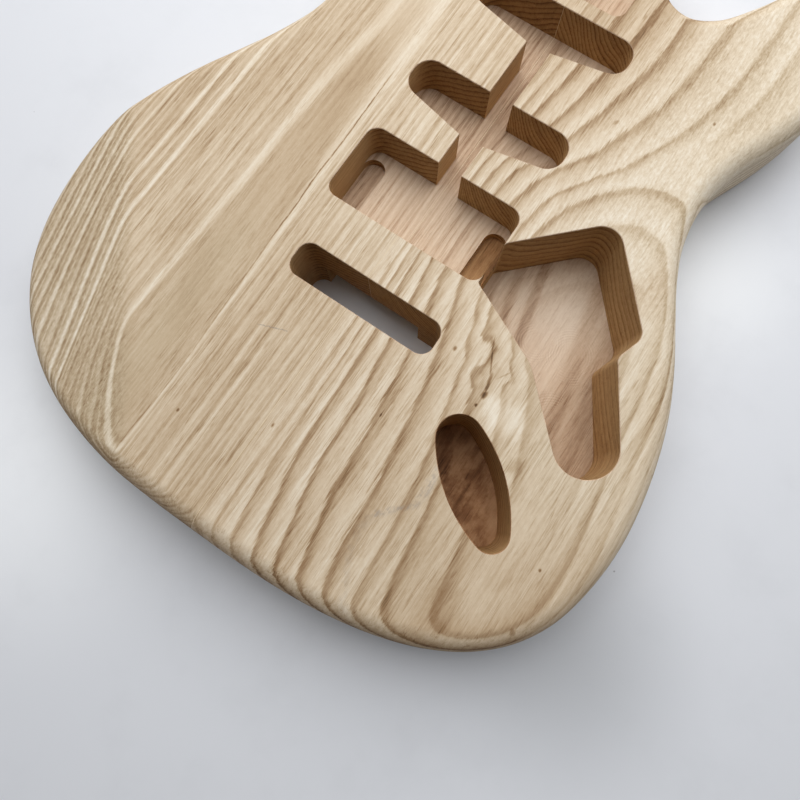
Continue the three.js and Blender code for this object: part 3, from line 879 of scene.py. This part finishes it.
def treble_growth():
    """Layer number at a place of the treble plank."""
    tree, (x, y, z), results = new_group("treble growth", PLACE, ["Layer"])
    straight = (x / y.curve(NARROWING)).curve(BANDS_ACROSS)
    across = x - y.ramp(30, 150, LOOP_LEAN, 0.0) - LOOP[0]
    along = (y - LOOP[1]) * y.ramp(40, 120, 1.04, 1.0)
    ring = (across / LOOP[2]).hypot(along / LOOP[3]).calc("SMOOTH_MAX", LOOP_EYE, 0.2)
    looped = (1.0 - ring) * LOOP_LAYERS + RIM_LAYER + y.ramp(262, 300, 0.0, 8.0)
    dome = (1.0 - oval(x, y, DOME)) * DOME_LAYERS + RIM_LAYER + y.ramp(262, 290, 0.0, 8.0)
    layer = straight.calc("SMOOTH_MIN", looped, 0.5).calc("SMOOTH_MIN", dome, 0.5)
    layer = layer + (z - BODY_THICKNESS) * x.ramp(15, 72, 0.065, 0.16)
    curl = noise((x, y, z), (0.075, 0.05, 0.05))
    return put_out(tree, results, layer + curl * oval(x, y, CURL).ramp(0.35, 1.1, 2.6, 0.0))


def bass_growth():
    """Layer number at a place of the bass plank."""
    tree, (x, y, z), results = new_group("bass growth", PLACE, ["Layer"])
    height = z - BODY_THICKNESS - (y - LAYERS_LEVEL_AT) * LAYER_DRIFT
    edge = (height + x.curve(EDGE_RISE)).curve(EDGE_LAYERS)
    joint = (height + x.curve(JOINT_RISE)).curve(JOINT_LAYERS)
    return put_out(tree, results, edge + (joint - edge) * x.ramp(*PLAIN_PATCH))


def ash_grain():
    """Ash between and along its layers, the same through the solid."""
    tree, (layer, x, y, z, wander_by, feather_by), results = new_group(
        "ash grain", {"Layer": 0.0, **PLACE, "Wander": 0.3, "Feather": 0.3},
        ["Wandered layer", "Streak", "Thread", "Pore", "Fleck", "Cloud"],
    )
    place = (x, y, z)
    wander = noise(place, (0.025, 0.007, 0.025), 3.0)
    feather = noise(place, (0.7, 0.035, 0.7), 4.0, 0.75)
    streak = noise(place, (0.42, 0.011, 0.42), 6.0, 0.82)
    line = noise(place, (0.62, 0.017, 0.62), 2.0, 0.6)
    breaks = noise(place, (0.3, 0.05, 0.3)).ramp(-0.12, 0.12)
    thread = line.absolute().fall(0.0, 0.045) * breaks
    pore = noise(place, (1.05, 0.075, 1.05), 2.0, 0.6).ramp(0.06, 0.20)
    fleck = noise(place, (0.85, 0.30, 0.85), 3.0, 0.8)
    cloud = noise(place, (0.016, 0.008, 0.016))
    wandered = layer + wander * wander_by + feather * feather_by
    return put_out(tree, results, wandered, streak, thread, pore, fleck, cloud)


def wood_marks():
    """Specks, a bark pocket, a dark hairline and pencil marks on the front, darkest at their middles."""
    tree, (x, y, z), results = new_group("wood marks", PLACE, ["Mark", "Pencil"])
    ragged = noise((x, y), (0.7, 0.25), 3.0)
    off_line = (x - y.curve(HAIRLINE) + ragged * 0.8).absolute()
    mark = off_line.ramp(0.05, 0.55, 0.55, 0.0) * (ragged + 0.5).ramp(0.25, 0.5, 0.35, 1.0)
    mark = mark * y.fall(225, 250) * y.ramp(2, 10) * y.ramp(125, 145, 0.7, 1.5)
    for across, along, half_width, half_length, turn, strength in DARK_MARKS:
        cosine, sine = math.cos(math.radians(turn)), math.sin(math.radians(turn))
        right, ahead = x - across, y - along
        beside, onward = right * cosine + ahead * sine, ahead * cosine - right * sine
        distance = (beside / half_width).hypot(onward / half_length)
        mark = mark.at_least((distance + ragged * 1.2).ramp(0.3, 1.5, strength, 0.0))
    scribble = noise((x, y), (0.28, 0.28), 4.0, 0.7)
    rubbed = (x - y.curve(SMUDGE) + scribble * 6.0).absolute().ramp(0.4, 3.0, 0.75, 0.0)
    rubbed = rubbed * y.fall(80, 88) * y.ramp(8, 16) * y.ramp(46, 54, 0.35, 1.0)
    rubbed = rubbed * (ragged + scribble).ramp(-0.15, 0.15, 0.15, 1.0)
    run, climb = PENCIL_TO[0] - PENCIL_FROM[0], PENCIL_TO[1] - PENCIL_FROM[1]
    length = math.hypot(run, climb)
    right, ahead = x - PENCIL_FROM[0], y - PENCIL_FROM[1]
    share = (right * run + ahead * climb) / length**2
    beside = (right * climb - ahead * run) / length
    stroke = (beside + ragged * 1.8).absolute().ramp(0.05, 0.42, 0.9, 0.0) * ragged.ramp(-0.16, 0.02)
    stroke = stroke * share.ramp(-0.05, 0.0) * share.fall(1.0, 1.05)
    on_front = z.ramp(BODY_THICKNESS - 6, BODY_THICKNESS - 1)
    return put_out(tree, results, mark * on_front, rubbed.at_least(stroke) * on_front)


def face_directions():
    """How far a face shows end grain, and how far it is a wall rather than a front or a floor."""
    tree, _, results = new_group("face directions", {}, ["End grain", "Wall"])
    normal = tree.nodes.new("ShaderNodeNewGeometry").outputs["Normal"]
    _, along, up = (Field(tree, part) for part in add_node(tree, "ShaderNodeSeparateXYZ", normal).outputs)
    return put_out(tree, results, along.absolute().ramp(0.2, 0.95), up.absolute().fall(0.3, 0.8))


def srgb(red, green, blue):
    """Linear colour from an sRGB one given in 0 to 255."""
    linear = []
    for value in (red, green, blue):
        value /= 255
        linear.append(value / 12.92 if value <= 0.04045 else ((value + 0.055) / 1.055) ** 2.4)
    return (*linear, 1.0)


def blend_colour(tree, share, first, second, how="MIX"):
    """First colour at 0, second at 1, each a socket or an sRGB colour."""
    settings = {"data_type": "RGBA", "blend_type": how, "clamp_factor": True}
    node = add_node(tree, "ShaderNodeMix", settings=settings, Factor=share)
    for name, colour in (("A", first), ("B", second)):
        socket = next(s for s in node.inputs if s.name == name and s.type == "RGBA")
        feed(tree, socket, srgb(*colour) if isinstance(colour, tuple) else colour)
    return next(s for s in node.outputs if s.type == "RGBA")


def palette(tree, tone, stops):
    """Colour read off a row of (tone, sRGB colour) stops."""
    node = add_node(tree, "ShaderNodeValToRGB", tone)
    ramp = node.color_ramp
    while len(ramp.elements) < len(stops):
        ramp.elements.new(0.5)
    for element, (place, colour) in zip(ramp.elements, stops):
        element.position = place
        element.color = srgb(*colour)
    return node.outputs["Color"]


def bass_figure(layer, x, y):
    """Fine straight figure with cream lines, and a smooth plain patch where the layers lie flat."""
    from_edge = layer.curve(EDGE_CREAM)
    strength = from_edge + (layer.curve(JOINT_CREAM) - from_edge) * x.ramp(*PLAIN_PATCH)
    cream = layer.through(CREAM_PROFILE) * strength
    dark = (layer + 0.28).through(POROUS_PROFILE)
    plain = x.bump(*PLAIN_MIDDLE)
    away = (x - float(FOREARM_START[0])) * float(FOREARM_ACROSS[0])
    bevel = (away + (y - float(FOREARM_START[1])) * float(FOREARM_ACROSS[1])).ramp(-2, 10)
    low_end = plain * y.fall(40, 110)
    broad = (layer.bump(4.05, 0.16) + layer.bump(5.05, 0.2)) * x.fall(-100, -90)
    figure = cream * (bevel * 0.11 + 0.23) - dark * (1.0 - plain) * (bevel * 0.03 + 0.09)
    figure = figure + broad * 0.10 - plain * 0.13 + low_end * 0.05 - bevel * 0.14 - 0.03
    shade = x.ramp(-45, -20) * y.fall(125, 150) + x.ramp(-135, -115, 0.8, 0.0)
    pale = bevel * 0.45 + plain * y.ramp(110, 160, 0.5, 0.0) + 0.14
    return figure - shade * 0.05, bevel * 0.8, pale, plain * (1.0 - bevel) * 0.8


def treble_figure(layer, x, y):
    """Bold dark bands of uneven strength, paler and more speckled round the upper bout."""
    band = layer.through(POROUS_PROFILE) * layer.curve(BAND_STRENGTHS)
    for faint in (
        y.ramp(259, 264) * layer.ramp(7.3, 7.9) * y.ramp(270, 320, 1.0, 0.4),
        x.ramp(143, 150) * y.ramp(150, 180, 0.6, 0.2),
        x.ramp(108, 114) * layer.ramp(9.3, 9.7) * y.ramp(80, 140, 0.8, 0.0),
    ):
        band = band * (1.0 - faint)
    upper = y.ramp(150, 240) * x.ramp(30, 90)
    low = x.ramp(75, 110) * y.fall(55, 125)
    warm = oval(x, y, WARM_PATCH).fall(0.3, 1.4)
    figure = 0.11 - band * (upper * -0.08 + 0.46) + upper * 0.03 - low * 0.17 - warm * 0.05
    figure = figure - oval(x, y, BROWN_PATCH).fall(0.4, 1.2) * 0.13
    figure = figure + oval(x, y, PALE_NOSE).fall(0.3, 1.2) * 0.19
    figure = figure - y.ramp(270, 320) * 0.07 - x.ramp(122, 142) * y.ramp(150, 200, 0.05, 0.0)
    pale = (x.ramp(50, 120) * 0.5 + upper * 0.35) * (1.0 - low) * (warm * -0.6 + 1.0)
    return figure, upper, pale, low * 0.3


def routed_colour(tree, place, own_layer, tone, cloud, end_grain, wall, rings, dark_ends):
    """Routed ash: growth rings on its walls, and on its floors what the cutter left, painted light and painted
    shade.
    """
    x, y, z = place
    floor = 1.0 - wall
    swirl = noise(place, (0.07, 0.045, 0.05), 5.0, 0.65)
    burnished = swirl.ramp(-0.06, 0.10) * floor * 0.085
    for across, along, radius in CUTTER_TURNS:
        distance = (x - across).hypot(y - along)
        turn = (distance * TURN_FINENESS).calc("SINE") * distance.bump(radius, TURN_SPREAD)
        tone = tone + turn * burnished

    control = floor * z.fall(10, 14) * y.ramp(116, 122)
    # Painted light on the floor of the control cavity: an oval pool, and lighter towards its neck end and its
    # side by the pickups
    bright = oval(x, y, PAINTED_LIGHT_POOL).fall(0.2, 1.3)
    bands = (x + (y - FLOOR_BANDS_AT) * FLOOR_BAND_LEAN).curve(FLOOR_BANDS) * 0.42
    light = bright * 0.16 + y.ramp(165, 200) * 0.18 + x.ramp(50, 85, 0.22, 0.0)
    tone = tone + control * (light - bands + cloud * 0.4)

    jack = oval(x, y, JACK_FLOOR).fall(0.9, 1.05)
    knots = (swirl * 26.0).calc("SINE") * 0.05 + swirl * 2.2 + x.ramp(85, 110) * 0.12 - 0.14
    # Painted shade: the floors of the leg slots are darker, the treble one more so towards its far wall
    leg_slot = z.fall(20.8, 23.5) * z.ramp(14, 18) * floor
    treble_leg = leg_slot * x.ramp(0, 20)
    tone = tone + knots * jack * floor - leg_slot * 0.16 - treble_leg * y.ramp(166, 190, 0.0, 0.22)

    ripple = noise(place, (0.09, 0.02, 0.12)) * 0.8
    lines = (own_layer * x.ramp(43, 45.5, rings, CONTROL_RINGS) + ripple).through(RING_PROFILE)
    tone = tone - lines * wall * (end_grain * 0.25 + 0.11) - end_grain * wall * dark_ends
    if rings > 1:
        floor_lines = (own_layer * rings * 0.7 + ripple).through(POROUS_PROFILE)
        tone = tone - floor_lines * floor * (1.0 - x.ramp(60, 80) * floor) * 0.12

    # Painted glare on the pool of painted light in the control cavity
    colour = blend_colour(tree, control * bright * 0.2, palette(tree, tone, ROUTED_TONES), FLOOR_GLARE)
    # The walls' multiply is partly the routed wood's warmer colour, partly painted shade and bounced light
    for share, tint in (
        (treble_leg * 0.9, LEG_SLOT_TINT), (wall, WALL_TINT_AND_PAINTED_SHADE), (end_grain * wall, END_GRAIN_TINT),
        (jack * (wall * -0.85 + 1.0), JACK_TINT),
    ):
        colour = blend_colour(tree, share, colour, tint, "MULTIPLY")
    return colour


def ash_material(name, growth, figure_of_layers, groups, wander, feather, routing=None):
    """Bare ash whose figure follows the plank's own layers through the solid.

    Routing is given for the walls and floors of cavities: growth rings to a layer, how much darker the end grain
    is, and how much of the figure the floors show.
    """
    material = bpy.data.materials.new(name)
    material.use_nodes = True
    tree = material.node_tree
    shader = tree.nodes["Principled BSDF"]
    place = x, y, z = plan_of_object(tree)
    (own_layer,) = use_group(tree, growth, Across=x, Along=y, Up=z)
    layer, streak, thread, pore, fleck, cloud = use_group(
        tree, groups["grain"], Layer=own_layer, Across=x, Along=y, Up=z, Wander=wander,
        Feather=x.ramp(55, 90, feather, feather * 0.35),
    )
    end_grain, wall = use_group(tree, groups["faces"])
    figure, speckled, pale, quiet = figure_of_layers(layer, x, y)
    if routing:
        rings, dark_ends, on_floor = routing
        floor = 1.0 - wall
        figure = figure * (wall * 0.35 + floor * on_floor - x.ramp(60, 80) * floor * 0.3) - 0.02
        # Painted shade: routed floors on the bass side of 8 to 12 mm across and past 205 to 225 mm along, the
        # wire channel's among them, are darker
        figure = figure - floor * y.ramp(205, 225) * x.ramp(8, 12, 0.15, 0.0)
    tone = figure + streak * (speckled * -0.25 + quiet * -0.36 + 0.70) + 0.68
    tone = tone + fleck * (speckled * 0.45 + quiet * -0.10 + 0.26) + cloud * (quiet * 0.25 + 0.30)
    tone = tone - (thread * 0.17 + pore * 0.12) * (speckled * -0.4 + quiet * -0.75 + 1.0)
    if routing:
        colour = routed_colour(tree, place, own_layer, tone, cloud, end_grain, wall, rings, dark_ends)
    else:
        mark, pencil = use_group(tree, groups["marks"], Across=x, Along=y, Up=z)
        tone = tone - mark * 0.6 - end_grain * 0.20
        colour = blend_colour(tree, pale, palette(tree, tone, SANDED_TONES), palette(tree, tone, PALE_TONES))
        colour = blend_colour(tree, pencil * 0.55, colour, PENCIL_GREY)
    bump = add_node(
        tree, "ShaderNodeBump", Strength=0.3, Distance=0.0004, Height=fleck * 0.6 - thread * 0.5 + streak * 0.5,
    )
    feed(tree, shader.inputs["Base Color"], colour)
    feed(tree, shader.inputs["Normal"], bump.outputs["Normal"])
    shader.inputs["Roughness"].default_value = 0.72
    shader.inputs["Specular IOR Level"].default_value = 0.25
    return material


def glue_material():
    material = bpy.data.materials.new("cured wood glue")
    material.use_nodes = True
    shader = material.node_tree.nodes["Principled BSDF"]
    shader.inputs["Base Color"].default_value = srgb(*GLUE_COLOUR)
    shader.inputs["Roughness"].default_value = 0.5
    return material


# Body

def build_body(sanded, routed):
    """The glued-up body, rounded, faced and routed."""
    body = rounded_blank()
    body.data.materials.append(sanded)
    wide = 2 * BODY_WIDTH
    table_plane = [(-wide, -wide), (wide, -wide), (wide, 2 * wide), (-wide, 2 * wide)]
    for cutter in (front_facing(), prism("back_facing", table_plane, -2 * OVERRUN, 0), belly_scoop()):
        cutter.data.materials.append(sanded)
        carve(body, cutter)
    tree = router_pass_tree()
    for name, outline, depth in routed_outlines():
        carve(body, router_cutter(name, outline, depth, tree, routed))
    spring = prism("spring_cavity", spring_outline(), -OVERRUN, SPRING_CAVITY_DEPTH)
    spring.data.materials.append(routed)
    carve(body, spring)
    carve(body, screw_drills(routed))
    return body


def plank(body, name, limits, finishes):
    """Part of the body between two places across and two along."""
    x0, x1, y0, y1 = limits
    piece = body.copy()
    piece.data = body.data.copy()
    piece.name = name
    bpy.context.scene.collection.objects.link(piece)
    outline = [(x0, y0), (x1, y0), (x1, y1), (x0, y1)]
    saw = prism(name + "_limits", outline, -OVERRUN, BODY_THICKNESS + OVERRUN)
    saw.data.materials.append(body.data.materials[0])
    carve(piece, saw, "INTERSECT")
    close_up(piece)
    for index, finish in enumerate(finishes):
        piece.data.materials[index] = finish
    piece.data.shade_smooth()
    piece.data.set_sharp_from_angle(angle=SHARP_ANGLE)
    weighted = piece.modifiers.new("flat faces stay flat", "WEIGHTED_NORMAL")
    weighted.keep_sharp = True
    weighted.weight = 100
    bake_down(piece)
    piece.data.name = name
    return piece


# Materials
groups = {"grain": ash_grain(), "marks": wood_marks(), "faces": face_directions()}
bass, treble = bass_growth(), treble_growth()
bass_finishes = [
    ash_material("sanded bass ash", bass, bass_figure, groups, wander=0.4, feather=0.22),
    ash_material(
        "routed bass ash", bass, bass_figure, groups, wander=0.4, feather=0.3, routing=(1.0, 0.13, 1.5),
    ),
]
treble_finishes = [
    ash_material("sanded treble ash", treble, treble_figure, groups, wander=0.35, feather=0.55),
    ash_material(
        "routed treble ash", treble, treble_figure, groups, wander=0.35, feather=0.4, routing=(3.5, 0.03, 0.55),
    ),
]
glue = glue_material()

# Body, cut into its planks and glue films
body = build_body(*bass_finishes)
side, film = BODY_WIDTH, GLUE_THICKNESS / 2
low, high = -OVERRUN, BODY_LENGTH + OVERRUN
made = [
    ("bass_plank", "bass_side_plank", "bass_ash", bass_finishes, (-side, -film, low, high)),
    ("treble_plank", "treble_side_plank", "treble_ash", treble_finishes, (film, side, low, high)),
    ("butt_glue_film", "butt_end_glue_line", "wood_glue", [glue, glue], (-film, film, low, TREMOLO_FROM_BUTT)),
    ("neck_glue_film", "neck_end_glue_line", "wood_glue", [glue, glue], (-film, film, TREMOLO_FROM_BUTT, high)),
]
for name, node, slot, finishes, limits in made:
    piece = plank(body, name, limits, finishes)
    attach(piece, "root")
    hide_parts(node)
bpy.data.objects.remove(body)

# Tint of the room, how bright the camera sees it, and how bright its dim and its bright side light the body
ROOM_TINT = (0.96, 0.98, 1.0, 1.0)
ROOM_SEEN = 0.80
ROOM_DIM = 0.05
ROOM_BRIGHT = 0.40
ROOM_BRIGHT_FROM = (-0.45, 0.70, 0.35)

# White table top, its paint a little worn, with two painted pools of light and one painted shadow: oval places
# as above, each with its colour
TABLE_HALF = 4.0
TABLE_WHITE = (222, 224, 229)
TABLE_LIGHT_AND_SHADOW_PATCHES = (
    ((-105, -35, 75, 75), (243, 245, 248)), ((142, 262, 45, 45), (238, 240, 243)),
    ((188, 46, 50, 50), (194, 196, 200)),
)
WORN_PAINT = (176, 178, 182)
GRIT = (160, 160, 162)
table_mesh = bpy.data.meshes.new("table_top")
table_mesh.from_pydata(
    [(across * TABLE_HALF, along * TABLE_HALF, 0) for across, along in ((-1, -1), (1, -1), (1, 1), (-1, 1))],
    [], [(0, 1, 2, 3)],
)
table = bpy.data.objects.new("table_top", table_mesh)
bpy.context.scene.collection.objects.link(table)
table_paint = bpy.data.materials.new("white table top")
table_paint.use_nodes = True
paint_tree = table_paint.node_tree
paint = paint_tree.nodes["Principled BSDF"]
paint_x, paint_y, _ = plan_of_object(paint_tree)
colour = TABLE_WHITE
# Painted pools of light and a painted shadow, laid over the white
for patch, tone in TABLE_LIGHT_AND_SHADOW_PATCHES:
    colour = blend_colour(paint_tree, oval(paint_x, paint_y, patch).fall(0.0, 1.6), colour, tone)
worn = noise((paint_x, paint_y), (0.02, 0.02), 5.0, 0.6)
colour = blend_colour(paint_tree, worn.ramp(-0.05, 0.3) * 0.12, colour, WORN_PAINT)
grit = noise((paint_x, paint_y), (0.28, 0.28), 1.0, 0.4)
colour = blend_colour(paint_tree, grit.ramp(0.33, 0.37), colour, GRIT)

# Far from the body the table fades into the pale room, for the camera alone
FADE_FROM, FADE_TO = 420.0, 900.0
away = paint_x.hypot(paint_y - BODY_LENGTH / 2).ramp(FADE_FROM, FADE_TO)
away = away * Field(paint_tree, paint_tree.nodes.new("ShaderNodeLightPath").outputs["Is Camera Ray"])
feed(paint_tree, paint.inputs["Base Color"], blend_colour(paint_tree, away, colour, (0, 0, 0)))
feed(paint_tree, paint.inputs["Emission Color"], ROOM_TINT)
feed(paint_tree, paint.inputs["Emission Strength"], away * ROOM_SEEN)
paint.inputs["Roughness"].default_value = 0.6
table_mesh.materials.append(table_paint)

# Light: a broad soft window above the neck end, and a pale room that is dimmer on the player's side
world = bpy.data.worlds.new("pale room")
bpy.context.scene.world = world
world.use_nodes = True
room = world.node_tree
direction = room.nodes.new("ShaderNodeTexCoord").outputs["Generated"]
towards = add_node(
    room, "ShaderNodeVectorMath", direction, ROOM_BRIGHT_FROM, settings={"operation": "DOT_PRODUCT"},
)
brightness = Field(room, towards.outputs["Value"]).ramp(-0.7, 0.8, ROOM_DIM, ROOM_BRIGHT)
seen = Field(room, room.nodes.new("ShaderNodeLightPath").outputs["Is Camera Ray"])
background = room.nodes["Background"].inputs
feed(room, background["Color"], ROOM_TINT)
feed(room, background["Strength"], brightness * (1.0 - seen) + seen * ROOM_SEEN)
window_data = bpy.data.lights.new("window", "AREA")
window_data.shape = "RECTANGLE"
window_data.size = 1.2
window_data.size_y = 1.0
window_data.energy = 9.6
window = bpy.data.objects.new("window", window_data)
window.location = (-0.14, 0.33, 0.74)
window.rotation_euler = (Vector((0.02, 0.0, 0.03)) - window.location).to_track_quat("-Z", "Y").to_euler()
bpy.context.scene.collection.objects.link(window)

# Camera, where the photographer stood
camera_data = bpy.data.cameras.new("camera")
camera_data.sensor_width = 36
camera_data.lens = 24.922
camera_data.clip_start = 0.01
camera = bpy.data.objects.new("camera", camera_data)
camera.location = (0.0717855, -0.1636592, 0.2928840)
camera.rotation_euler = Euler([math.radians(angle) for angle in (9.96012, 0.53502, 34.12104)])
bpy.context.scene.collection.objects.link(camera)
bpy.context.scene.camera = camera
bpy.context.scene.view_settings.view_transform = "Standard"
